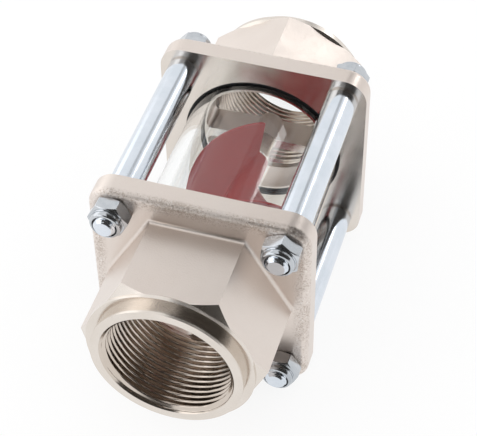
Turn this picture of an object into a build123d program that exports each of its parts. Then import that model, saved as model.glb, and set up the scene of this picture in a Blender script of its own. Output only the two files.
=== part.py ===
from build123d import *
import math
import os

# In-line flow indicator: a glass sight tube with a helical rotor, clamped between two threaded end
# blocks by four tie rods. Lengths are in millimetres. The flow axis is Y, Z is up, and the origin is
# on the flow axis, halfway between the two ports. The inlet is at -Y and the outlet at +Y.

# Distance between the two plates
plate_gap = 68.2

# Glass tube and its wall
tube_outer_radius = 30.0
tube_wall = 4.5
tube_engagement = 1.3

# Pipe thread of 1 1/2 inch in each port, with its countersink
thread_minor_radius = 22.42
countersink_step = 1.78
countersink_depth = 1.8

# Turned end of an end block, from the thread outwards
rim_wall = 3.2
rim_thickness = 1.0
collar_step = 0.4
collar_length = 3.1
ring_step = 3.3
ring_thickness = 1.5

# Hexagon of an end block, a little smaller over its flats than the ring
ring_proud = 1.05
hex_length = 31.2
hex_root_radius = 1.4
hex_chamfer_length = 2.6

# Square plate of an end block, round the hexagon's corners
corner_land = 2.025
plate_thickness = 8.5
plate_corner_radius = 9.0
plate_edge_radius = 2.6

# Moulded seal between tube and block, in its groove
seal_base_thickness = 1.5
seal_lip_thickness = 0.7
seal_lip_recess = 0.1
tube_clearance = 0.05
seal_clearance = 0.15
seal_inside_tube = 0.45
groove_land = 0.85

# Plain cavity of an end block on the tube's side
cavity_depth = 11.2
cavity_taper_length = 3.3

# Cast web across the cavity, with the boss that carries the rotor's bearing
web_thickness = 4.0
web_root_radius = 2.4
boss_radius = 4.8
boss_projection = 10.5
boss_root_radius = 1.2
boss_tip_chamfer = 0.5

# Tie rods and their threaded ends
rod_edge_distance = 9.3
rod_radius = 6.0
rod_chamfer = 1.0
stud_radius = 4.0
stud_projection = 1.4
stud_hole_clearance = 0.4

# Lock nuts, each with a nylon ring pressed in under its collar
nut_across_flats = 13.0
nut_hex_height = 5.6
nut_collar_radius = 5.7
nut_height = 8.0
nut_clearance = 0.05

# Turn of each nut about its rod, in degrees, as the nuts were tightened
inlet_nut_turns = [2.0, 25.0, 3.0, 14.0]
outlet_nut_turns = [10.0, -14.0, 20.0, 5.0]

# Rotor, shaft and bearings
blade_tip_clearance = 4.8
blade_thickness = 1.6
hub_radius = 5.0
rotor_lead = 84.0
rotor_end_play = 0.5
rotor_rest_angle = 80.5
shaft_radius = 2.0
shaft_clearance = 0.04
shaft_end_gap = 0.5
shaft_chamfer = 0.3
bush_radius = 3.5
bush_length = 12.0
bush_fit = 0.02
press_fit = 0.01

# Sizes that follow from the ones above
half_gap = plate_gap / 2
countersink_radius = thread_minor_radius + countersink_step
rim_radius = countersink_radius + rim_wall
collar_radius = rim_radius - collar_step
ring_radius = collar_radius + ring_step
hex_across_flats = 2 * (ring_radius - ring_proud)
hex_corner_radius = hex_across_flats / 2 / math.cos(math.radians(30))
plate_width = 2 * (hex_corner_radius + hex_root_radius + corner_land + plate_edge_radius)
rod_spacing = plate_width - 2 * rod_edge_distance
block_length = plate_thickness + hex_length + ring_thickness + collar_length + rim_thickness
tube_inner_radius = tube_outer_radius - tube_wall
groove_inner_radius = tube_inner_radius - seal_inside_tube
groove_outer_radius = tube_outer_radius + tube_clearance + seal_lip_thickness + seal_clearance
groove_depth = seal_base_thickness + tube_engagement
cavity_radius = groove_inner_radius - groove_land
blade_radius = tube_inner_radius - blade_tip_clearance
rotor_length = plate_gap - 2 * boss_projection - 2 * rotor_end_play
rod_places = [(-1, 1), (1, 1), (1, -1), (-1, -1)]


def turned(points):
    """A solid of revolution about Z from (radius, height) points."""
    outline = Polyline([(r, 0, h) for r, h in points], close=True)
    return revolve(make_face(outline), Axis.Z)


def tube(inner_radius, outer_radius, bottom, top):
    """A plain ring about Z between two heights."""
    return turned([
        (inner_radius, bottom),
        (outer_radius, bottom),
        (outer_radius, top),
        (inner_radius, top),
    ])


def rod_positions():
    """The four tie rod axes as (x, z) pairs."""
    half = rod_spacing / 2
    return [(side * half, level * half) for side, level in rod_places]


def block_outside():
    """Plate, hexagon and turned port end, with Z pointing out of the port and 0 at the inner face."""
    plate = extrude(RectangleRounded(plate_width, plate_width, plate_corner_radius), plate_thickness)
    plate = fillet(plate.edges().group_by(Axis.Z)[-1], plate_edge_radius)
    hex_end = plate_thickness + hex_length
    hexagon = extrude(RegularPolygon(hex_across_flats / 2, 6, major_radius=False), hex_length)
    # A lathe takes the hexagon's corners off in a cone down to the ring
    cone = turned([
        (0, plate_thickness),
        (hex_corner_radius, plate_thickness),
        (hex_corner_radius, hex_end - hex_chamfer_length),
        (ring_radius, hex_end),
        (0, hex_end),
    ])
    hexagon = Pos(0, 0, plate_thickness) * hexagon & cone
    body = plate + hexagon
    root = body.edges().filter_by_position(Axis.Z, plate_thickness - 0.01, plate_thickness + 0.01)
    root = [edge for edge in root if Vector(edge.center().X, edge.center().Y, 0).length < hex_corner_radius]
    body = fillet(root, hex_root_radius)
    ring_top = hex_end + ring_thickness
    collar_top = ring_top + collar_length
    port_end = turned([
        (0, hex_end - 1),
        (ring_radius - 1, hex_end - 1),
        (ring_radius, hex_end),
        (ring_radius, ring_top),
        (collar_radius, ring_top),
        (collar_radius, collar_top),
        (rim_radius, collar_top),
        (rim_radius, block_length),
        (0, block_length),
    ])
    return body + port_end


def web_passages():
    """The two openings of the cavity on either side of the web and its boss, with cast corners."""
    outline = Circle(cavity_radius) - Rectangle(web_thickness, 3 * cavity_radius) - Circle(boss_radius)
    between = (boss_radius + cavity_radius) / 2
    corners = outline.vertices()
    outline = fillet([corner for corner in corners if corner.center().length > between], web_root_radius)
    corners = outline.vertices()
    outline = fillet([corner for corner in corners if corner.center().length < between], boss_root_radius)
    return extrude(outline, cavity_depth)


def block_bore():
    """The turned bore beyond the web, with the thread's countersink, and the seal's groove."""
    bore = turned([
        (0, cavity_depth),
        (cavity_radius, cavity_depth),
        (thread_minor_radius, cavity_depth + cavity_taper_length),
        (thread_minor_radius, block_length - countersink_depth),
        (countersink_radius, block_length),
        (countersink_radius, block_length + 1),
        (0, block_length + 1),
    ])
    return bore + tube(groove_inner_radius, groove_outer_radius, -1, groove_depth)


def end_block():
    """One casting: plate, hexagon, port, web and boss."""
    body = block_outside() - block_bore() - web_passages()
    boss = Pos(0, 0, -boss_projection) * extrude(Circle(boss_radius), boss_projection + cavity_depth)
    boss = chamfer(boss.edges().sort_by(Axis.Z)[0], boss_tip_chamfer)
    body = body + boss
    pocket = extrude(Circle(bush_radius + bush_fit), bush_length)
    body = body - Pos(0, 0, -boss_projection) * pocket
    for x, y in rod_positions():
        hole = extrude(Circle(stud_radius + stud_hole_clearance), plate_thickness)
        body = body - Pos(x, y, 0) * hole
    return body


def at_inlet(piece):
    """Places a piece of an end block, built with Z pointing outwards, at the inlet."""
    return Pos(0, -half_gap, 0) * Rot(90, 0, 0) * piece


def at_outlet(piece):
    """Places a piece at the outlet, a quarter turn round from the inlet."""
    return Pos(0, half_gap, 0) * Rot(0, 90, 0) * Rot(-90, 0, 0) * piece


def sight_tube():
    length = plate_gap + 2 * tube_engagement
    return Rot(-90, 0, 0) * tube(tube_inner_radius, tube_outer_radius, -length / 2, length / 2)


def seal():
    """A moulded ring of L section: the tube stands on its base and inside its lip."""
    inner = groove_inner_radius + seal_clearance
    outer = groove_outer_radius - seal_clearance
    lip = outer - seal_lip_thickness
    return turned([
        (inner, groove_depth),
        (outer, groove_depth),
        (outer, seal_lip_recess),
        (lip, seal_lip_recess),
        (lip, tube_engagement),
        (inner, tube_engagement),
    ])


def tie_rod():
    """A thick turned rod between the plates, with a thinner threaded end through each plate and nut."""
    stud_end = half_gap + plate_thickness + nut_height + stud_projection
    half = [
        (rod_radius, 0),
        (rod_radius, half_gap - rod_chamfer),
        (rod_radius - rod_chamfer, half_gap),
        (stud_radius, half_gap),
        (stud_radius, stud_end),
    ]
    mirrored = [(r, -h) for r, h in reversed(half[1:])]
    return Rot(-90, 0, 0) * turned([(0, -stud_end)] + mirrored + half + [(0, stud_end)])


def lock_nut():
    """A hexagon under a round collar that holds the nylon ring, with its seat at 0."""
    collar_height = nut_height - nut_hex_height
    hexagon = extrude(RegularPolygon(nut_across_flats / 2, 6, major_radius=False), nut_hex_height)
    collar = Pos(0, 0, nut_hex_height) * extrude(Circle(nut_collar_radius), collar_height)
    return hexagon + collar - extrude(Circle(stud_radius + nut_clearance), nut_height)


def rotor():
    """Helical blades and hub in one moulding, bored for the shaft, made along Z and laid along Y."""
    blades = Rectangle(2 * blade_radius, blade_thickness)
    twist = 360 * rotor_length / rotor_lead
    blades = Solid.extrude_linear_with_rotation(
        blades.faces()[0],
        center=(0, 0, 0),
        normal=(0, 0, rotor_length),
        angle=twist,
    )
    hub = extrude(Circle(hub_radius), rotor_length)
    shaft_hole = extrude(Circle(shaft_radius + press_fit), rotor_length)
    start_angle = -rotor_rest_angle - twist
    return Rot(-90, 0, 0) * Pos(0, 0, -rotor_length / 2) * Rot(0, 0, start_angle) * (hub + blades - shaft_hole)


def rotor_shaft():
    length = rotor_length + 2 * rotor_end_play + 2 * (bush_length - shaft_end_gap)
    shaft = extrude(Circle(shaft_radius), length / 2, both=True)
    shaft = chamfer(shaft.edges().group_by(Axis.Z)[0] + shaft.edges().group_by(Axis.Z)[-1], shaft_chamfer)
    return Rot(-90, 0, 0) * shaft


def bush():
    """Plain bearing, flush with the boss's tip."""
    return Pos(0, 0, -boss_projection) * tube(shaft_radius + shaft_clearance, bush_radius, 0, bush_length)


def save(piece, name):
    solids = piece.solids()
    if len(solids) != 1:
        raise ValueError(f"{name} has {len(solids)} solids")
    export_step(solids[0], f"parts/{name}.step")


os.makedirs("parts", exist_ok=True)

block = end_block()
save(at_inlet(block), "inlet_block")
save(at_outlet(block), "outlet_block")
save(at_inlet(seal()), "inlet_seal")
save(at_outlet(seal()), "outlet_seal")
save(at_inlet(bush()), "inlet_bush")
save(at_outlet(bush()), "outlet_bush")
save(sight_tube(), "sight_tube")
save(rotor(), "rotor")
save(rotor_shaft(), "rotor_shaft")

for number, (x, z) in enumerate(rod_positions(), start=1):
    save(Pos(x, 0, z) * tie_rod(), f"tie_rod_{number}")
    seat = half_gap + plate_thickness
    inlet_place = Pos(x, -seat, z) * Rot(90, 0, 0) * Rot(0, 0, inlet_nut_turns[number - 1])
    outlet_place = Pos(x, seat, z) * Rot(-90, 0, 0) * Rot(0, 0, outlet_nut_turns[number - 1])
    save(inlet_place * lock_nut(), f"inlet_nut_{number}")
    save(outlet_place * lock_nut(), f"outlet_nut_{number}")
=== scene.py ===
import math

import bmesh
import bpy
from mathutils import Matrix, Vector


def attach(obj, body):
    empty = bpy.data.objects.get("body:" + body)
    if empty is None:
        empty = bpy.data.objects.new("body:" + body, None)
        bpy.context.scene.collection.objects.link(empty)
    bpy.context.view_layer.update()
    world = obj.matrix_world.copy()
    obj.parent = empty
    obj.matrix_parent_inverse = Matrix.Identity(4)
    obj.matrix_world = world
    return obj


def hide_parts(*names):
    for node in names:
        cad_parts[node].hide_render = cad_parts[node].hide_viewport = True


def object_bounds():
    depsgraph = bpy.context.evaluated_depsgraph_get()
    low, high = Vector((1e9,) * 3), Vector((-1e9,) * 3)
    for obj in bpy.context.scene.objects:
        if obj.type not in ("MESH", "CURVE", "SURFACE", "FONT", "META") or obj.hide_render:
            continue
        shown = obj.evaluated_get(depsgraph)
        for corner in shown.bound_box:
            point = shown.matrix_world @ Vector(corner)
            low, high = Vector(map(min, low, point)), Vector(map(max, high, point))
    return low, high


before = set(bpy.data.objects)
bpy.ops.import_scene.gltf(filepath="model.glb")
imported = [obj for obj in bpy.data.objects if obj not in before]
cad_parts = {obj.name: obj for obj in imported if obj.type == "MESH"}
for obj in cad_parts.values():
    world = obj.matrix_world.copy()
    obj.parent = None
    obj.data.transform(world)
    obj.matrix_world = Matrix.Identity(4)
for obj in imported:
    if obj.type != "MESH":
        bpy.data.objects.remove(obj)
cad_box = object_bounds()


# End blocks: two equal brass castings with a thin nickel plating, a quarter turn apart. Each is a
# square plate with a spanner hexagon, a turned port with a 1 1/2 inch pipe thread, and a cast web
# with a boss inside. The plates' inner faces and the ports are turned, and the rest stays as cast.
# The thread's nickel is coloured darker than the other turned faces: painted shade inside the ports.
HALF_GAP = 0.0341
BLOCK_DEPTH = 0.0453
CAVITY_DEPTH = 0.0112
CAVITY_TAPER = 0.0033
CAVITY_RADIUS = 0.0242
PORT_PITCH = 0.002309
PORT_MINOR = 0.02242
PORT_MAJOR = 0.0239
COUNTERSINK_DEPTH = 0.0018
HEX_END_DEPTH = 0.0397
HEX_CHAMFER = 0.0026
GROOVE_RADIUS = 0.0315
GROOVE_DEPTH = 0.003
THREAD_ROUND = 0.28
BORE_COLUMNS = 168
ROWS_PER_PITCH = 20
BORE_INSET = 0.00005
# A hundredth and a tenth of a millimetre, for sorting the casting's faces by their place.
HAIR = 0.00001
TENTH = 0.0001
CONE_FACING = 0.3
PLATE_FACING = 0.5
ROUGH_EDGE_SPAN = (0.0335, 0.0365)
ROUGH_DEPTH_SPAN = (0.0400, 0.0412)
NOISE_SPAN = (0.3, 0.7)
CAST_TONES = ((0.745, 0.665, 0.61), (0.805, 0.732, 0.68))
CAST_ROUGHNESS = (0.30, 0.40)
CAST_COARSENESS = (0.08, 0.5)
CAST_RELIEF = 0.00015
PIT_TONE = (0.40, 0.31, 0.24)
PIT_SHARES = (0.02, 0.45)
# Painted highlight: a pale tone mixed into grains along the plates' edges stands in for glints of light, and
# makes those grains rougher.
PAINTED_GLINT_TONE = (0.98, 0.94, 0.91)
PAINTED_GLINT_SPAN = (0.56, 0.66)
PAINTED_GLINT_SHARE = 0.9
PAINTED_GLINT_DULLING = 0.35
TURNED_TONES = ((0.72, 0.66, 0.60), (0.79, 0.735, 0.68))
TURNED_ROUGHNESS = (0.17, 0.27)
# Painted shade: the thread has the same plating as the turned faces but darker tones, for the shade inside
# the ports.
THREAD_TONES_WITH_PAINTED_SHADE = ((0.60, 0.53, 0.465), (0.69, 0.615, 0.55))
THREAD_ROUGHNESS = (0.12, 0.19)


def new_group(name, inputs, outputs):
    """A shader node group with number inputs (name, value) and number outputs (name)."""
    group = bpy.data.node_groups.new(name, "ShaderNodeTree")
    for label, value in inputs:
        socket = group.interface.new_socket(label, in_out="INPUT", socket_type="NodeSocketFloat")
        socket.default_value = value
    for label in outputs:
        group.interface.new_socket(label, in_out="OUTPUT", socket_type="NodeSocketFloat")
    start = group.nodes.new("NodeGroupInput")
    end = group.nodes.new("NodeGroupOutput")
    return group, start, end


def own_place(nodes):
    """The place of a surface point in the part's frame."""
    return nodes.new("ShaderNodeTexCoord").outputs["Object"]


def axes(nodes, links, place):
    """The X, Y and Z of a place."""
    parts = nodes.new("ShaderNodeSeparateXYZ")
    links.new(place, parts.inputs[0])
    return parts.outputs["X"], parts.outputs["Y"], parts.outputs["Z"]


def noise(nodes, links, place, scale, detail=3.0, rough=0.5):
    """A noise texture at a place. Its scale, features a metre, is a number or a socket."""
    texture = nodes.new("ShaderNodeTexNoise")
    texture.inputs["Detail"].default_value = detail
    texture.inputs["Roughness"].default_value = rough
    links.new(place, texture.inputs["Vector"])
    if isinstance(scale, (int, float)):
        texture.inputs["Scale"].default_value = scale
    else:
        links.new(scale, texture.inputs["Scale"])
    return texture.outputs["Fac"]


def remap(nodes, links, value, low, high, to_low=0.0, to_high=1.0):
    """A value moved from one range to another, kept inside it."""
    node = nodes.new("ShaderNodeMapRange")
    links.new(value, node.inputs["Value"])
    for label, number in zip(("From Min", "From Max", "To Min", "To Max"), (low, high, to_low, to_high)):
        if isinstance(number, (int, float)):
            node.inputs[label].default_value = number
        else:
            links.new(number, node.inputs[label])
    return node.outputs["Result"]


def combine(nodes, links, how, first, second=0.0):
    """Two values added, multiplied or otherwise combined, or one value worked on."""
    node = nodes.new("ShaderNodeMath")
    node.operation = how
    for socket, value in zip(node.inputs, (first, second)):
        if isinstance(value, (int, float)):
            socket.default_value = value
        else:
            links.new(value, socket)
    return node.outputs[0]


def cast_skin_group():
    """The grain that sand leaves on a casting: fine bumps, scattered pits and slow changes of tone."""
    group, start, end = new_group(
        "cast_skin",
        [("Grain Scale", 1400.0), ("Pit Scale", 1500.0), ("Pit Amount", 1.0)],
        ["Height", "Grain", "Pits", "Tone"],
    )
    nodes, links = group.nodes, group.links
    place = own_place(nodes)
    grain = noise(nodes, links, place, start.outputs["Grain Scale"], detail=4.0, rough=0.6)
    spots = noise(nodes, links, place, start.outputs["Pit Scale"], detail=2.0, rough=0.55)
    zones = noise(nodes, links, place, scale=95.0, detail=2.0)
    limit = remap(nodes, links, zones, low=0.35, high=0.7, to_low=0.72, to_high=0.56)
    eased = combine(nodes, links, "MULTIPLY", start.outputs["Pit Amount"], 0.12)
    limit = combine(nodes, links, "SUBTRACT", limit, eased)
    pits = remap(nodes, links, spots, limit, combine(nodes, links, "ADD", limit, 0.06))
    links.new(combine(nodes, links, "SUBTRACT", grain, pits), end.inputs["Height"])
    links.new(grain, end.inputs["Grain"])
    links.new(pits, end.inputs["Pits"])
    links.new(noise(nodes, links, place, scale=42.0), end.inputs["Tone"])
    return group


def turning_group():
    """Fine rings that a lathe tool leaves round the flow axis, with slow changes of gloss."""
    group, start, end = new_group("turning_marks", [("Feed", 40000.0)], ["Height", "Gloss"])
    nodes, links = group.nodes, group.links
    place = own_place(nodes)
    across, along, upright = axes(nodes, links, place)
    across = combine(nodes, links, "MULTIPLY", across, across)
    upright = combine(nodes, links, "MULTIPLY", upright, upright)
    radius = combine(nodes, links, "SQRT", combine(nodes, links, "ADD", across, upright))
    travel = combine(nodes, links, "ADD", radius, along)
    rings = combine(nodes, links, "SINE", combine(nodes, links, "MULTIPLY", travel, start.outputs["Feed"]))
    links.new(rings, end.inputs["Height"])
    links.new(noise(nodes, links, place, scale=60.0), end.inputs["Gloss"])
    return group


cast_skin = cast_skin_group()
turning_marks = turning_group()


def new_material(name, colour, metallic, roughness):
    """A material with one Principled BSDF, returned with its tree's nodes, links and shader."""
    material = bpy.data.materials.new(name)
    material.use_nodes = True
    nodes, links = material.node_tree.nodes, material.node_tree.links
    shader = nodes["Principled BSDF"]
    shader.inputs["Base Color"].default_value = (*colour, 1)
    shader.inputs["Metallic"].default_value = metallic
    shader.inputs["Roughness"].default_value = roughness
    return material, nodes, links, shader


def place_group(nodes, group, **values):
    """A node group placed in a material, with its own values."""
    node = nodes.new("ShaderNodeGroup")
    node.node_tree = group
    for label, value in values.items():
        node.inputs[label.replace("_", " ")].default_value = value
    return node


def mix_tones(nodes, links, share, first, second):
    """A colour between two, each a tone or another node's colour, as the share goes from 0 to 1."""
    mix = nodes.new("ShaderNodeMix")
    mix.data_type = "RGBA"
    links.new(share, mix.inputs["Factor"])
    for label, colour in (("A", first), ("B", second)):
        if isinstance(colour, tuple):
            mix.inputs[label].default_value = (*colour, 1)
        else:
            links.new(colour, mix.inputs[label])
    return mix.outputs["Result"]


def relief(nodes, links, shader, height, distance, strength=1.0):
    """Fine relief from a height, fed to the shader's normal."""
    bump = nodes.new("ShaderNodeBump")
    bump.inputs["Strength"].default_value = strength
    bump.inputs["Distance"].default_value = distance
    links.new(height, bump.inputs["Height"])
    links.new(bump.outputs["Normal"], shader.inputs["Normal"])


def plate_edges(nodes, links):
    """1 along the edges of the plates' outer faces, where the casting is roughest, and 0 elsewhere."""
    across, along, upright = (
        combine(nodes, links, "ABSOLUTE", axis) for axis in axes(nodes, links, own_place(nodes))
    )
    outward = combine(nodes, links, "MAXIMUM", across, upright)
    near_edge = remap(nodes, links, outward, *ROUGH_EDGE_SPAN)
    near_face = remap(nodes, links, along, *ROUGH_DEPTH_SPAN)
    return combine(nodes, links, "MULTIPLY", near_edge, near_face)


def cast_nickel():
    """Nickel over the casting's skin, with pits along the plates' edges and painted highlights there: pale
    grains that stand in for glints of light.
    """
    material, nodes, links, shader = new_material("cast_nickel", CAST_TONES[1], 1.0, CAST_ROUGHNESS[1])
    skin = place_group(nodes, cast_skin, Grain_Scale=1400.0, Pit_Scale=1500.0, Pit_Amount=1.0)
    edges = plate_edges(nodes, links)
    shown = remap(nodes, links, edges, 0, 1, *PIT_SHARES)
    pits = combine(nodes, links, "MULTIPLY", skin.outputs["Pits"], shown)
    # Painted highlight: pale grains along the edges, standing in for glints of light.
    bright = remap(nodes, links, skin.outputs["Grain"], *PAINTED_GLINT_SPAN)
    near = combine(nodes, links, "MULTIPLY", edges, PAINTED_GLINT_SHARE)
    painted_glints = combine(nodes, links, "MULTIPLY", bright, near)
    drift = remap(nodes, links, skin.outputs["Tone"], *NOISE_SPAN)
    colour = mix_tones(nodes, links, drift, *CAST_TONES)
    colour = mix_tones(nodes, links, pits, colour, PIT_TONE)
    colour = mix_tones(nodes, links, painted_glints, colour, PAINTED_GLINT_TONE)
    links.new(colour, shader.inputs["Base Color"])
    roughness = remap(nodes, links, skin.outputs["Tone"], *NOISE_SPAN, *CAST_ROUGHNESS)
    dulling = combine(nodes, links, "MULTIPLY", painted_glints, PAINTED_GLINT_DULLING)
    links.new(combine(nodes, links, "ADD", roughness, dulling), shader.inputs["Roughness"])
    coarse = remap(nodes, links, edges, 0, 1, *CAST_COARSENESS)
    height = combine(nodes, links, "MULTIPLY", skin.outputs["Height"], coarse)
    relief(nodes, links, shader, height, distance=CAST_RELIEF)
    return material


def turned_nickel(name, tones, roughness):
    """Nickel over a lathe-turned surface, its tone and roughness drifting between two values."""
    material, nodes, links, shader = new_material(name, tones[1], 1.0, roughness[1])
    marks = place_group(nodes, turning_marks, Feed=40000.0)
    drift = remap(nodes, links, marks.outputs["Gloss"], *NOISE_SPAN)
    links.new(mix_tones(nodes, links, drift, *tones), shader.inputs["Base Color"])
    gloss = remap(nodes, links, marks.outputs["Gloss"], *NOISE_SPAN, *roughness)
    links.new(gloss, shader.inputs["Roughness"])
    relief(nodes, links, shader, marks.outputs["Height"], distance=0.000001, strength=0.3)
    return material


def bore_radius(turn, depth):
    """The threaded bore's radius at a turn, in whole turns, and a depth from the plate's inner face."""
    phase = (depth / PORT_PITCH - turn) % 1.0
    flank = 1 - abs(2 * phase - 1)
    if flank < THREAD_ROUND:
        rise = flank ** 2 / (2 * THREAD_ROUND * (1 - THREAD_ROUND))
    elif flank > 1 - THREAD_ROUND:
        rise = 1 - (1 - flank) ** 2 / (2 * THREAD_ROUND * (1 - THREAD_ROUND))
    else:
        rise = (flank - THREAD_ROUND / 2) / (1 - THREAD_ROUND)
    thread = PORT_MINOR + (PORT_MAJOR - PORT_MINOR) * rise
    step = CAVITY_RADIUS - PORT_MINOR
    mouth = CAVITY_RADIUS - step * (BLOCK_DEPTH - depth) / COUNTERSINK_DEPTH
    taper = CAVITY_RADIUS - step * (depth - CAVITY_DEPTH) / CAVITY_TAPER
    return max(thread, mouth, taper)


def add_walls(shape, rings, closed=False):
    """Quads between neighbouring rings of points. Closed, the last ring also meets the first."""
    followers = rings[1:] + rings[:1] if closed else rings[1:]
    for here, there in zip(rings, followers):
        for number in range(len(here)):
            after = (number + 1) % len(here)
            shape.faces.new((here[number], here[after], there[after], there[number]))


def finished_mesh(shape, name, angle=30.0):
    """A shape's mesh, smooth but for sharp edges where faces meet at more than an angle."""
    bmesh.ops.recalc_face_normals(shape, faces=shape.faces)
    mesh = bpy.data.meshes.new(name)
    shape.to_mesh(mesh)
    shape.free()
    if "custom_normal" in mesh.attributes:
        mesh.attributes.remove(mesh.attributes["custom_normal"])
    mesh.polygons.foreach_set("use_smooth", [True] * len(mesh.polygons))
    mesh.set_sharp_from_angle(angle=math.radians(angle))
    return mesh


def in_scene(name, data):
    """A new object for its mesh, lamp or camera, linked to the scene."""
    holder = bpy.data.objects.new(name, data)
    bpy.context.scene.collection.objects.link(holder)
    return holder


def new_piece(name, mesh, body, replaced, materials):
    """An object for a finished mesh: it rides on a body and stands for CAD nodes."""
    piece = in_scene(name, mesh)
    evened = piece.modifiers.new("even_shading", "WEIGHTED_NORMAL")
    evened.keep_sharp = True
    for material in materials:
        mesh.materials.append(material)
    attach(piece, body)
    if replaced:
        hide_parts(*replaced)
    return piece


def bore_rings(shape, outward):
    """The thread's rings of points, from the cavity to the port's mouth."""
    length = BLOCK_DEPTH - CAVITY_DEPTH - 2 * BORE_INSET
    rows = round(length / PORT_PITCH * ROWS_PER_PITCH)
    rings = []
    for row in range(rows + 1):
        depth = CAVITY_DEPTH + BORE_INSET + length * row / rows
        ring = []
        for column in range(BORE_COLUMNS):
            turn = column / BORE_COLUMNS
            radius = bore_radius(turn, depth)
            angle = 2 * math.pi * turn
            x = radius * math.cos(angle)
            z = -outward * radius * math.sin(angle)
            ring.append(shape.verts.new((x, outward * (HALF_GAP + depth), z)))
        rings.append(ring)
    return rings


def station(face, outward):
    """A face's depth from the plate's inner face and its distance from the flow axis."""
    middle = face.calc_center_median()
    return outward * middle.y - HALF_GAP, math.hypot(middle.x, middle.z)


def finish_number(face, outward):
    """0 where a face stays as cast, 1 where it is turned and 2 in the threaded bore."""
    depth, radius = station(face, outward)
    facing = abs(face.normal.y)
    if radius < CAVITY_RADIUS - TENTH and depth > CAVITY_DEPTH + HAIR:
        return 2
    collar = depth > HEX_END_DEPTH - HAIR
    cone = depth > HEX_END_DEPTH - HEX_CHAMFER - HAIR and facing > CONE_FACING
    inner_face = depth < TENTH and facing > PLATE_FACING
    groove = depth < GROOVE_DEPTH and radius < GROOVE_RADIUS
    return int(collar or cone or inner_face or groove)


def threaded_block(node, outward):
    """The casting from its solid, with the plain bore's faces taken out and the real thread put in."""
    shape = bmesh.new()
    shape.from_mesh(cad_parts[node].data)
    bmesh.ops.remove_doubles(shape, verts=shape.verts, dist=1e-7)
    bore = []
    for face in shape.faces:
        depth, radius = station(face, outward)
        if depth > CAVITY_DEPTH + HAIR and radius < CAVITY_RADIUS - HAIR:
            bore.append(face)
    bmesh.ops.delete(shape, geom=bore, context="FACES")
    for edge in shape.edges:
        edge.smooth = True
    ends = [edge for edge in shape.edges if edge.is_boundary]
    rings = bore_rings(shape, outward)
    add_walls(shape, rings)
    for ring, inner_end in ((rings[0], True), (rings[-1], False)):
        loop = [shape.edges.get((ring[i], ring[i - 1])) for i in range(BORE_COLUMNS)]
        near = [
            edge for edge in ends
            if (outward * edge.verts[0].co.y - HALF_GAP < BLOCK_DEPTH / 2) == inner_end
        ]
        bmesh.ops.bridge_loops(shape, edges=loop + near)
    shape.normal_update()
    for face in shape.faces:
        face.material_index = finish_number(face, outward)
    return finished_mesh(shape, node + "_threaded", angle=28.0)


block_finishes = [
    cast_nickel(),
    turned_nickel("turned_nickel", TURNED_TONES, TURNED_ROUGHNESS),
    # The threaded bores' finish carries painted shade.
    turned_nickel("threaded_nickel_painted_shade", THREAD_TONES_WITH_PAINTED_SHADE, THREAD_ROUGHNESS),
]
for block_node, outward in (("inlet_block", -1), ("outlet_block", 1)):
    new_piece(
        block_node + "_cast",
        threaded_block(block_node, outward),
        "housing",
        [block_node],
        block_finishes,
    )


# Seals: one soft black ring at each end of the glass, moulded with an L section. Its base lies in
# the plate's groove under the tube's end, and its thin lip stands round the outside of the tube.
SEAL_INNER = 0.0252
SEAL_OUTER = 0.03075
SEAL_LIP_INNER = 0.03005
SEAL_LIP_DEPTH = 0.0001
SEAL_BASE_DEPTH = 0.0013
SEAL_FOOT_DEPTH = 0.0028
SEAL_EDGE = 0.00018
SEAL_COLUMNS = 144
SEAL_TONES = ((0.008, 0.008, 0.009), (0.02, 0.02, 0.021))
SEAL_ROUGHNESS = (0.48, 0.66)


def rounded(outline, radius, steps=3):
    """A closed outline of (radius, along) points with its corners rounded."""
    result = []
    count = len(outline)
    for number in range(count):
        before = Vector(outline[number - 1])
        corner = Vector(outline[number])
        after = Vector(outline[(number + 1) % count])
        reach = min(radius, (before - corner).length * 0.45, (after - corner).length * 0.45)
        start = corner + (before - corner).normalized() * reach
        end = corner + (after - corner).normalized() * reach
        for step in range(steps + 1):
            share = step / steps
            low = start.lerp(corner, share)
            high = corner.lerp(end, share)
            result.append(tuple(low.lerp(high, share)))
    return result


def turned_mesh(name, outline, columns):
    """A closed ring turned about Y from (radius, along) points in order round its section."""
    shape = bmesh.new()
    rings = []
    for column in range(columns):
        angle = 2 * math.pi * column / columns
        rings.append([shape.verts.new((r * math.cos(angle), y, r * math.sin(angle))) for r, y in outline])
    add_walls(shape, rings, closed=True)
    return finished_mesh(shape, name)


def moulded(name, tones, roughness, scale, detail=3.0):
    """A moulded finish without metal, its tone and roughness drifting over the surface."""
    material, nodes, links, shader = new_material(name, tones[1], 0.0, roughness[1])
    drift = noise(nodes, links, own_place(nodes), scale, detail)
    links.new(mix_tones(nodes, links, drift, *tones), shader.inputs["Base Color"])
    gloss = remap(nodes, links, drift, *NOISE_SPAN, *roughness)
    links.new(gloss, shader.inputs["Roughness"])
    return material


soft_rubber = moulded("soft_rubber", SEAL_TONES, SEAL_ROUGHNESS, scale=420.0)
for end_name, outward in (("inlet", -1), ("outlet", 1)):
    section = [
        (SEAL_INNER, SEAL_FOOT_DEPTH),
        (SEAL_OUTER, SEAL_FOOT_DEPTH),
        (SEAL_OUTER, SEAL_LIP_DEPTH),
        (SEAL_LIP_INNER, SEAL_LIP_DEPTH),
        (SEAL_LIP_INNER, SEAL_BASE_DEPTH),
        (SEAL_INNER, SEAL_BASE_DEPTH),
    ]
    section = [(r, outward * (HALF_GAP + depth)) for r, depth in rounded(section, SEAL_EDGE)]
    new_piece(
        end_name + "_seal_ring",
        turned_mesh(end_name + "_seal_ring", section, SEAL_COLUMNS),
        "housing",
        [end_name + "_seal"],
        [soft_rubber],
    )


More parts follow.
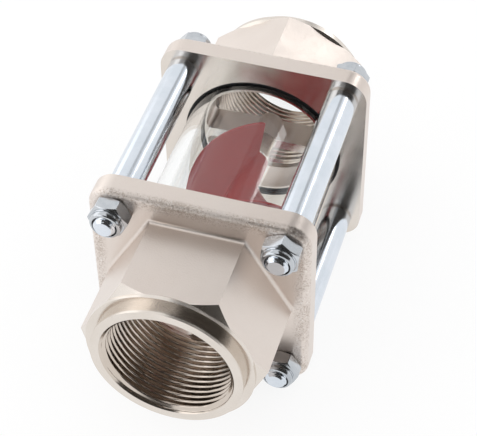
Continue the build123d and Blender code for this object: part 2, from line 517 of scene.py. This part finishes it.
# Sight glass: a clear tube of borosilicate glass with ground and fire-polished ends, 60 mm outside,
# held between the seals by the pull of the tie rods.
GLASS_OUTER = 0.030
GLASS_INNER = 0.0255
GLASS_HALF = 0.0354
GLASS_EDGE = 0.0004
GLASS_COLUMNS = 192
GLASS_TINT = (0.985, 0.995, 0.99)
GLASS_SHADOW = (0.93, 0.96, 0.945)
GLASS_IOR = 1.48


def clear_glass():
    """Clear glass with the faintest film, which lets light through to what lies behind it."""
    material, nodes, links, shader = new_material("clear_glass", GLASS_TINT, 0.0, 0.0)
    shader.inputs["Transmission Weight"].default_value = 1.0
    shader.inputs["IOR"].default_value = GLASS_IOR
    film = noise(nodes, links, own_place(nodes), scale=60.0, detail=2.0)
    film = remap(nodes, links, film, low=0.45, high=0.8, to_high=0.02)
    links.new(film, shader.inputs["Roughness"])
    clear = nodes.new("ShaderNodeBsdfTransparent")
    clear.inputs["Color"].default_value = (*GLASS_SHADOW, 1)
    path = nodes.new("ShaderNodeLightPath")
    passing = combine(nodes, links, "MAXIMUM", path.outputs["Is Shadow Ray"], path.outputs["Is Diffuse Ray"])
    mix = nodes.new("ShaderNodeMixShader")
    links.new(passing, mix.inputs["Fac"])
    links.new(shader.outputs["BSDF"], mix.inputs[1])
    links.new(clear.outputs["BSDF"], mix.inputs[2])
    links.new(mix.outputs["Shader"], nodes["Material Output"].inputs["Surface"])
    return material


glass_section = [
    (GLASS_INNER, -GLASS_HALF),
    (GLASS_OUTER, -GLASS_HALF),
    (GLASS_OUTER, GLASS_HALF),
    (GLASS_INNER, GLASS_HALF),
]
new_piece(
    "sight_glass",
    turned_mesh("sight_glass", rounded(glass_section, GLASS_EDGE), GLASS_COLUMNS),
    "housing",
    ["sight_tube"],
    [clear_glass()],
)


# Tie rods: four turned steel bars with bright zinc plating. A thick shank keeps the plates apart,
# and a thinner M8 stud at each end goes through the plate and its lock nut.
ROD_HALF_SPACING = 0.0305
ROD_RADIUS = 0.006
ROD_CHAMFER = 0.001
ROD_BREAK = 0.0001
STUD_CREST = 0.004
STUD_ROOT = 0.00335
STUD_PITCH = 0.00125
STUD_ROOT_FLAT = 0.1
STUD_FLANK = 0.75
STUD_END = 0.0520
STUD_PLAIN = 0.0425
STUD_CHAMFER = 0.001
STUD_ROWS = 84
ROD_COLUMNS = 72
ROD_PLACES = [(-1, 1), (1, 1), (1, -1), (-1, -1)]
ROD_TONES = ((0.68, 0.735, 0.80), (0.75, 0.795, 0.86))
ROD_ROUGHNESS = (0.12, 0.20)


def bright_zinc(name, tones, roughness):
    """Zinc plating, its tone and roughness drifting between two values."""
    material, nodes, links, shader = new_material(name, tones[1], 1.0, roughness[0])
    place = own_place(nodes)
    cloud = noise(nodes, links, place, scale=130.0, detail=4.0, rough=0.6)
    fine = noise(nodes, links, place, scale=1800.0, detail=2.0)
    drift = remap(nodes, links, cloud, low=0.35, high=0.65)
    links.new(mix_tones(nodes, links, drift, *tones), shader.inputs["Base Color"])
    gloss = remap(nodes, links, cloud, *NOISE_SPAN, *roughness)
    links.new(gloss, shader.inputs["Roughness"])
    relief(nodes, links, shader, fine, distance=0.000006, strength=0.3)
    return material


def stud_radius(turn, along):
    """The stud's radius at a turn, in whole turns, and a distance from the middle of the rod."""
    phase = (along / STUD_PITCH - turn) % 1.0
    crest = min(1.0, max(0.0, (1 - abs(2 * phase - 1) - STUD_ROOT_FLAT) / STUD_FLANK))
    thread = STUD_ROOT + (STUD_CREST - STUD_ROOT) * crest
    if along < STUD_PLAIN:
        thread = STUD_CREST
    return min(thread, STUD_CREST - STUD_CHAMFER + (STUD_END - along))


def rod_profile():
    """(distance from the middle, radius or None where the stud's own radius holds) down half a rod."""
    shoulder = HALF_GAP - ROD_CHAMFER
    neck = ROD_RADIUS - ROD_CHAMFER
    stations = [
        (0.0, ROD_RADIUS),
        (shoulder - 2 * ROD_BREAK, ROD_RADIUS),
        (shoulder + ROD_BREAK, ROD_RADIUS - 0.8 * ROD_BREAK),
        (HALF_GAP - ROD_BREAK, neck + 0.5 * ROD_BREAK),
        (HALF_GAP, neck - 0.5 * ROD_BREAK),
        (HALF_GAP, STUD_CREST),
        (STUD_PLAIN - ROD_BREAK, STUD_CREST),
    ]
    for row in range(STUD_ROWS + 1):
        stations.append((STUD_PLAIN + (STUD_END - STUD_PLAIN) * row / STUD_ROWS, None))
    return stations


def rod_mesh(name, centre_x, centre_z):
    """One rod along Y, from stud to stud, closed by a flat face at each end."""
    shape = bmesh.new()
    half = rod_profile()
    rings = []
    for y, fixed in [(-y, radius) for y, radius in reversed(half[1:])] + half:
        direction = 1 if y > 0 else -1
        ring = []
        for column in range(ROD_COLUMNS):
            turn = column / ROD_COLUMNS
            radius = fixed if fixed is not None else stud_radius(-direction * turn, abs(y))
            angle = 2 * math.pi * turn
            x = centre_x + radius * math.cos(angle)
            z = centre_z + radius * math.sin(angle)
            ring.append(shape.verts.new((x, y, z)))
        rings.append(ring)
    add_walls(shape, rings)
    for ring in (rings[0], rings[-1]):
        shape.faces.new(ring)
    return finished_mesh(shape, name, angle=25.0)


rod_zinc = bright_zinc("rod_zinc", ROD_TONES, ROD_ROUGHNESS)
for number, (side, level) in enumerate(ROD_PLACES, start=1):
    name = "tie_rod_turned_" + str(number)
    new_piece(
        name,
        rod_mesh(name, side * ROD_HALF_SPACING, level * ROD_HALF_SPACING),
        "housing",
        ["tie_rod_" + str(number)],
        [rod_zinc],
    )


# Lock nuts: eight zinc-plated M8 hexagon nuts, each with a collar rolled over a dark nylon ring
# that grips the stud. They were tightened by hand, so each stands at a turn of its own.
NUT_SEAT = 0.0426
NUT_FLAT = 0.0065
NUT_HEX_HEIGHT = 0.0056
NUT_FACE_RADIUS = 0.0062
NUT_CHAMFER = 0.0008
NUT_CORNER_ROUND = 0.00008
NUT_COLLAR_RADIUS = 0.0057
NUT_COLLAR_ROUND = 0.0011
NUT_COLLAR_FOOT = 0.0002
NUT_COLLAR_STEPS = 6
NUT_HEIGHT = 0.008
NUT_LIP_RADIUS = 0.00455
NUT_LIP = 0.0005
NUT_LIP_EDGE = 0.0002
NUT_BORE = 0.00405
NUT_BORE_CHAMFER = 0.0003
NUT_LEVELS = [0.0, 0.0001, 0.0002, 0.0003, 0.00045, 0.0006, NUT_CHAMFER, 0.0014, NUT_HEX_HEIGHT / 2]
NUT_SECTOR_ANGLES = [0.0, 0.8, 2.0, 4.5, 9.0, 15.0, 22.5, 30.0]
NUT_TURNS = {"inlet": [2.0, 25.0, 3.0, 14.0], "outlet": [10.0, -14.0, 20.0, 5.0]}
NUT_TONES = ((0.47, 0.50, 0.535), (0.60, 0.625, 0.655))
NUT_ROUGHNESS = (0.1, 0.2)
NYLON_OUTER = 0.00495
NYLON_ROOM = 0.00003
NYLON_DEPTH = 0.0021
NYLON_FOOT_ROOM = 0.00005
NYLON_SINK = 0.00002
NYLON_RISE = 0.00012
NYLON_RISE_OUTER = 0.0045
NYLON_RISE_INNER = 0.0043
NYLON_BORE = 0.00403
NYLON_BORE_EDGE = 0.00009
NYLON_COLUMNS = 60
NYLON_TONES = ((0.025, 0.025, 0.03), (0.05, 0.05, 0.055))
NYLON_ROUGHNESS = (0.38, 0.55)


def hexagon_angles():
    """Angles round a hexagon in degrees from a corner, closer together near the corners."""
    angles = []
    for corner in range(6):
        base = corner * 60
        angles += [base + step for step in NUT_SECTOR_ANGLES]
        angles += [base + 60 - step for step in reversed(NUT_SECTOR_ANGLES[1:-1])]
    return angles


def nut_radius(angle, height):
    """The hexagon's radius at an angle from a corner, with its corners turned off at both ends."""
    corner_radius = NUT_FLAT / math.cos(math.radians(30))
    from_flat = (angle % 60) - 30
    flat = NUT_FLAT / math.cos(math.radians(from_flat))
    flat = min(flat, corner_radius - NUT_CORNER_ROUND)
    edge = min(height, NUT_HEX_HEIGHT - height)
    cone = NUT_FACE_RADIUS + (corner_radius - NUT_FACE_RADIUS) * edge / NUT_CHAMFER
    return min(flat, cone)


def nut_profile():
    """(radius or None where the hexagon's own radius holds, height) from the seat round to the bore."""
    lip_foot = NUT_HEIGHT - NUT_LIP
    pocket = NYLON_OUTER + NYLON_ROOM
    stations = [(NUT_BORE + NUT_BORE_CHAMFER, 0.0)]
    stations += [(None, level) for level in NUT_LEVELS]
    stations += [(None, NUT_HEX_HEIGHT - level) for level in reversed(NUT_LEVELS[:-1])]
    stations.append((NUT_COLLAR_RADIUS + NUT_COLLAR_FOOT, NUT_HEX_HEIGHT))
    stations.append((NUT_COLLAR_RADIUS, NUT_HEX_HEIGHT + NUT_COLLAR_FOOT))
    for step in range(NUT_COLLAR_STEPS + 1):
        bend = math.radians(90 * step / NUT_COLLAR_STEPS)
        stations.append((
            NUT_COLLAR_RADIUS - NUT_COLLAR_ROUND * (1 - math.cos(bend)),
            NUT_HEIGHT - NUT_COLLAR_ROUND * (1 - math.sin(bend)),
        ))
    stations += [
        (NUT_LIP_RADIUS + 0.25 * NUT_LIP_EDGE, NUT_HEIGHT - 0.4 * NUT_LIP_EDGE),
        (NUT_LIP_RADIUS, NUT_HEIGHT - NUT_LIP_EDGE),
        (NUT_LIP_RADIUS, lip_foot),
        (pocket, lip_foot),
        (pocket, lip_foot - NYLON_DEPTH),
        (NUT_BORE, lip_foot - NYLON_DEPTH),
        (NUT_BORE, NUT_BORE_CHAMFER),
    ]
    return stations


def nut_mesh(name, place):
    """One nut, from its profile turned through the hexagon's angles."""
    angles = hexagon_angles()
    shape = bmesh.new()
    rings = []
    for radius, height in nut_profile():
        ring = []
        for angle in angles:
            reach = radius if radius is not None else nut_radius(angle, height)
            ring.append(shape.verts.new(place(angle, reach, height)))
        rings.append(ring)
    add_walls(shape, rings, closed=True)
    return finished_mesh(shape, name, angle=22.0)


def nylon_mesh(name, place):
    """The nylon ring under the collar, its inner edge pressed up round the stud."""
    top = NUT_HEIGHT - NUT_LIP
    foot = top - NYLON_DEPTH + NYLON_FOOT_ROOM
    outline = [
        (NYLON_OUTER, foot),
        (NYLON_OUTER, top - NYLON_SINK),
        (NYLON_RISE_OUTER, top - NYLON_SINK),
        (NYLON_RISE_INNER, top + NYLON_RISE),
        (NYLON_BORE + NYLON_BORE_EDGE, top + NYLON_RISE),
        (NYLON_BORE, top),
        (NYLON_BORE, foot),
    ]
    shape = bmesh.new()
    rings = [
        [shape.verts.new(place(360 * column / NYLON_COLUMNS, radius, height)) for radius, height in outline]
        for column in range(NYLON_COLUMNS)
    ]
    add_walls(shape, rings, closed=True)
    return finished_mesh(shape, name, angle=35.0)


nut_zinc = bright_zinc("nut_zinc", NUT_TONES, NUT_ROUGHNESS)
dark_nylon = moulded("dark_nylon", NYLON_TONES, NYLON_ROUGHNESS, scale=700.0, detail=2.0)
for end_name, outward in (("inlet", -1), ("outlet", 1)):
    for number, (side, level) in enumerate(ROD_PLACES, start=1):
        turned_by = NUT_TURNS[end_name][number - 1]

        def nut_place(angle, radius, height):
            """A point of the nut from its own angle, radius and height above the seat."""
            around = math.radians(angle + turned_by)
            x = side * ROD_HALF_SPACING + radius * math.cos(around)
            z = level * ROD_HALF_SPACING - outward * radius * math.sin(around)
            return (x, outward * (NUT_SEAT + height), z)

        name = end_name + "_lock_nut_" + str(number)
        new_piece(
            name,
            nut_mesh(name, nut_place),
            "housing",
            [end_name + "_nut_" + str(number)],
            [nut_zinc],
        )
        name = end_name + "_nylon_ring_" + str(number)
        new_piece(name, nylon_mesh(name, nut_place), "housing", [], [dark_nylon])


# Rotor: one moulding of red plastic, a hub with two helical blades of right-hand twist. The liquid
# that runs through the tube turns it, so its movement shows through the glass.
ROTOR_HALF = 0.0231
ROTOR_LEAD = 0.084
ROTOR_REST_ANGLE = 80.5
ROTOR_STEPS = 132
BLADE_RADIUS = 0.0207
BLADE_HALF_THICKNESS = 0.0008
BLADE_TIP_ROUND = 0.00035
BLADE_TIP_STEPS = 4
BLADE_SPANS = 14
BLADE_ROOT_ROUND = 0.0012
BLADE_ROOT_STEPS = 5
HUB_RADIUS = 0.005
HUB_STEPS = 10
SHAFT_HOLE = 0.00201
SHAFT_HOLE_STEPS = 48
ROTOR_TONES = ((0.31, 0.010, 0.010), (0.37, 0.015, 0.015))
ROTOR_ROUGHNESS = (0.28, 0.38)
ROTOR_SPECULAR = 0.3


def rotor_section():
    """The closed outline of hub and blades, as (across, up) points with the first blade along +X."""
    half = BLADE_HALF_THICKNESS
    root_x = math.sqrt((HUB_RADIUS + BLADE_ROOT_ROUND) ** 2 - (half + BLADE_ROOT_ROUND) ** 2)
    root_angle = math.atan2(half + BLADE_ROOT_ROUND, root_x)
    tip_x = BLADE_RADIUS - BLADE_TIP_ROUND
    upper = []
    for step in range(BLADE_TIP_STEPS + 1):
        bend = math.pi / 2 * step / BLADE_TIP_STEPS
        upper.append((
            tip_x + BLADE_TIP_ROUND * math.cos(bend),
            half - BLADE_TIP_ROUND * (1 - math.sin(bend)),
        ))
    for step in range(1, BLADE_SPANS):
        upper.append((tip_x + (root_x - tip_x) * step / BLADE_SPANS, half))
    for step in range(BLADE_ROOT_STEPS + 1):
        bend = -math.pi / 2 - (math.pi / 2 - root_angle) * step / BLADE_ROOT_STEPS
        upper.append((
            root_x + BLADE_ROOT_ROUND * math.cos(bend),
            half + BLADE_ROOT_ROUND + BLADE_ROOT_ROUND * math.sin(bend),
        ))
    for step in range(1, HUB_STEPS + 1):
        angle = root_angle + (math.pi / 2 - root_angle) * step / HUB_STEPS
        upper.append((HUB_RADIUS * math.cos(angle), HUB_RADIUS * math.sin(angle)))
    top = upper + [(-x, y) for x, y in reversed(upper[:-1])]
    bottom = [(-x, -y) for x, y in top]
    return top + bottom


def shaft_hole():
    """The outline of the hole through the hub, as (across, up) points."""
    points = []
    for step in range(SHAFT_HOLE_STEPS):
        angle = 2 * math.pi * step / SHAFT_HOLE_STEPS
        points.append((SHAFT_HOLE * math.cos(angle), SHAFT_HOLE * math.sin(angle)))
    return points


def rotor_mesh():
    """The rotor from its section, turned as it runs along Y, with a flat face at each end."""
    shape = bmesh.new()
    walls = []
    for outline in (rotor_section(), shaft_hole()):
        rings = []
        for step in range(ROTOR_STEPS + 1):
            y = -ROTOR_HALF + 2 * ROTOR_HALF * step / ROTOR_STEPS
            turn = math.radians(ROTOR_REST_ANGLE + 360 * (ROTOR_HALF - y) / ROTOR_LEAD)
            cos, sin = math.cos(turn), math.sin(turn)
            rings.append([shape.verts.new((u * cos - v * sin, y, u * sin + v * cos)) for u, v in outline])
        add_walls(shape, rings)
        walls.append(rings)
    for end in (0, -1):
        edges = []
        for rings in walls:
            ring = rings[end]
            edges += [shape.edges.get((ring[i], ring[i - 1])) for i in range(len(ring))]
        bmesh.ops.triangle_fill(shape, use_beauty=True, use_dissolve=False, edges=edges)
    return finished_mesh(shape, "rotor_moulding", angle=35.0)


def red_plastic():
    """Glossy red plastic with the faint ripple of a mould."""
    material = moulded("red_plastic", ROTOR_TONES, ROTOR_ROUGHNESS, scale=110.0)
    nodes, links = material.node_tree.nodes, material.node_tree.links
    shader = nodes["Principled BSDF"]
    shader.inputs["Specular IOR Level"].default_value = ROTOR_SPECULAR
    fine = noise(nodes, links, own_place(nodes), scale=2200.0, detail=2.0)
    relief(nodes, links, shader, fine, distance=0.00001, strength=0.4)
    return material


new_piece("rotor_moulding", rotor_mesh(), "rotor_body", ["rotor"], [red_plastic()])


# Shaft and bearings: a ground stainless pin through the rotor's hub turns in two plain plastic
# bushes, which are pressed into the bosses and end flush with their tips.
SHAFT_STEEL = (0.62, 0.61, 0.60)
SHAFT_ROUGHNESS = (0.14, 0.26)
BUSH_TONES = ((0.66, 0.63, 0.56), (0.76, 0.73, 0.66))
BUSH_ROUGHNESS = (0.42, 0.6)


def ground_steel():
    """Ground stainless steel, with finer rings than the turned nickel."""
    material, nodes, links, shader = new_material("ground_steel", SHAFT_STEEL, 1.0, SHAFT_ROUGHNESS[1])
    marks = place_group(nodes, turning_marks, Feed=30000.0)
    gloss = remap(nodes, links, marks.outputs["Gloss"], *NOISE_SPAN, *SHAFT_ROUGHNESS)
    links.new(gloss, shader.inputs["Roughness"])
    relief(nodes, links, shader, marks.outputs["Height"], distance=0.000002, strength=0.3)
    return material


bearing_plastic = moulded("bearing_plastic", BUSH_TONES, BUSH_ROUGHNESS, scale=500.0)
for node, finish in (
    ("rotor_shaft", ground_steel()),
    ("inlet_bush", bearing_plastic),
    ("outlet_bush", bearing_plastic),
):
    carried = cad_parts[node]
    carried.data.materials.clear()
    carried.data.materials.append(finish)


# Studio: the part lies on a white table in a white room, with soft lights on the left and in front
# and a narrow one behind on the right. A black card and a narrow grey one hang overhead, where only
# polished surfaces show them, and give the metal its dark reflections.
CAMERA_PLACE = (0.1220, -0.3727, 0.4045)
CAMERA_AZIMUTH = 17.9886
CAMERA_ELEVATION = 46.3574
CAMERA_ROLL = -0.9979
CAMERA_LENS = 114.69
TABLE_HEIGHT = cad_box[0][2]
TABLE_GAP = 0.0002
TABLE_RADIUS = 3.0
TABLE_TONES = ((0.91, 0.91, 0.91), (0.93, 0.93, 0.93))
TABLE_SHADOW_SHARE = 0.15
ROOM_LEVEL = 1.1
WHITE_LEVEL = 1.0
CARD_HEIGHT = 0.6
CARD_OUTLINE = [
    (-0.46, -1.6), (-0.46, -0.60), (-0.02, -0.50), (-0.02, 0.05), (-0.12, 0.365), (0.10, 0.41),
    (0.45, 0.50), (1.05, 0.85), (2.40, 1.70), (2.40, -1.6),
]
GREY_OUTLINE = [(0.00, 0.44), (0.17, 0.47), (0.26, 0.95), (0.06, 0.95)]
BLACK_TONES = ((0.03, 0.027, 0.024), (0.04, 0.036, 0.032))
GREY_TONES = ((0.5, 0.5, 0.5), (0.54, 0.54, 0.54))


def seen_directly(nodes, links):
    """1 for rays from the camera, off glossy surfaces and through clear ones, and 0 for the rest."""
    path = nodes.new("ShaderNodeLightPath")
    seen = combine(nodes, links, "MAXIMUM", path.outputs["Is Camera Ray"], path.outputs["Is Glossy Ray"])
    return combine(nodes, links, "MAXIMUM", seen, path.outputs["Is Transmission Ray"])


def matt(name, tones, roughness, scale):
    """A matt surface, its tone between two colours, with its tree and shader."""
    material, nodes, links, shader = new_material(name, tones[0], 0.0, roughness)
    drift = noise(nodes, links, own_place(nodes), scale, detail=2.0)
    links.new(mix_tones(nodes, links, drift, *tones), shader.inputs["Base Color"])
    return material, nodes, links, shader


def white_table():
    """White paper that keeps a faint shadow and otherwise shows as the white of the backdrop."""
    material, nodes, links, shader = matt("white_table", TABLE_TONES, roughness=0.8, scale=30.0)
    glow = nodes.new("ShaderNodeEmission")
    glow.inputs["Strength"].default_value = WHITE_LEVEL
    mix = nodes.new("ShaderNodeMixShader")
    share = combine(nodes, links, "MULTIPLY", seen_directly(nodes, links), 1 - TABLE_SHADOW_SHARE)
    links.new(share, mix.inputs["Fac"])
    links.new(shader.outputs["BSDF"], mix.inputs[1])
    links.new(glow.outputs["Emission"], mix.inputs[2])
    links.new(mix.outputs["Shader"], nodes["Material Output"].inputs["Surface"])
    return material


def soft_light(name, place, width, length, power):
    """A rectangular soft light that faces the middle of the part."""
    lamp = bpy.data.lights.new(name, "AREA")
    lamp.shape = "RECTANGLE"
    lamp.size = width
    lamp.size_y = length
    lamp.energy = power
    holder = in_scene(name, lamp)
    holder.location = place
    holder.rotation_mode = "QUATERNION"
    holder.rotation_quaternion = (-Vector(place)).to_track_quat("-Z", "Y")


def card_mesh():
    """The black card overhead with its front drop to the table's level, and the grey card beside it."""
    shape = bmesh.new()
    top = [shape.verts.new((x, y, CARD_HEIGHT)) for x, y in CARD_OUTLINE]
    foot = [shape.verts.new((x, y, 0.0)) for x, y in (CARD_OUTLINE[0], CARD_OUTLINE[-1])]
    shape.faces.new(top)
    shape.faces.new((top[0], top[-1], foot[1], foot[0]))
    grey = shape.faces.new([shape.verts.new((x, y, CARD_HEIGHT)) for x, y in GREY_OUTLINE])
    grey.material_index = 1
    mesh = bpy.data.meshes.new("black_card")
    shape.to_mesh(mesh)
    shape.free()
    for name, tones in (("black_card", BLACK_TONES), ("grey_card", GREY_TONES)):
        mesh.materials.append(matt(name, tones, roughness=0.9, scale=15.0)[0])
    return mesh


table_shape = bmesh.new()
bmesh.ops.create_circle(table_shape, cap_ends=True, segments=96, radius=TABLE_RADIUS)
table_mesh = bpy.data.meshes.new("table_top")
table_shape.to_mesh(table_mesh)
table_shape.free()
table_mesh.materials.append(white_table())
table = in_scene("table_top", table_mesh)
table.location = (0, 0, TABLE_HEIGHT - TABLE_GAP)

card = in_scene("black_card", card_mesh())
card.visible_camera = False
card.visible_diffuse = False
card.visible_transmission = False
card.visible_shadow = False

soft_light("left_softbox", (-1.1, 0.05, 0.4), width=1.9, length=0.7, power=2.0)
soft_light("strip_light", (0.50, 0.80, 0.6), width=0.10, length=0.28, power=0.34)
soft_light("front_softbox", (-0.64, -0.74, 0.46), width=0.42, length=0.5, power=0.42)

world = bpy.data.worlds.new("white_room")
bpy.context.scene.world = world
world.use_nodes = True
world_nodes, world_links = world.node_tree.nodes, world.node_tree.links
backdrop = world_nodes["Background"]
room = world_nodes.new("ShaderNodeBackground")
for background, brightness in ((backdrop, WHITE_LEVEL), (room, ROOM_LEVEL)):
    background.inputs["Color"].default_value = (1, 1, 1, 1)
    background.inputs["Strength"].default_value = brightness
choice = world_nodes.new("ShaderNodeMixShader")
world_links.new(seen_directly(world_nodes, world_links), choice.inputs["Fac"])
world_links.new(room.outputs["Background"], choice.inputs[1])
world_links.new(backdrop.outputs["Background"], choice.inputs[2])
world_links.new(choice.outputs["Shader"], world_nodes["World Output"].inputs["Surface"])

camera_data = bpy.data.cameras.new("photo_camera")
camera_data.lens = CAMERA_LENS
camera_data.sensor_width = 36.0
camera_data.clip_start = 0.01
camera_data.clip_end = 20.0
camera = in_scene("photo_camera", camera_data)
bpy.context.scene.camera = camera
azimuth, elevation, roll = (math.radians(a) for a in (CAMERA_AZIMUTH, CAMERA_ELEVATION, CAMERA_ROLL))
back = Vector((
    math.sin(azimuth) * math.cos(elevation),
    -math.cos(azimuth) * math.cos(elevation),
    math.sin(elevation),
))
right = (-back).cross(Vector((0, 0, 1))).normalized()
up = right.cross(-back)
camera_right = math.cos(roll) * right + math.sin(roll) * up
camera_up = -math.sin(roll) * right + math.cos(roll) * up
camera.matrix_world = Matrix([
    [camera_right.x, camera_up.x, back.x, CAMERA_PLACE[0]],
    [camera_right.y, camera_up.y, back.y, CAMERA_PLACE[1]],
    [camera_right.z, camera_up.z, back.z, CAMERA_PLACE[2]],
    [0, 0, 0, 1],
])
bpy.context.scene.view_settings.view_transform = "Standard"
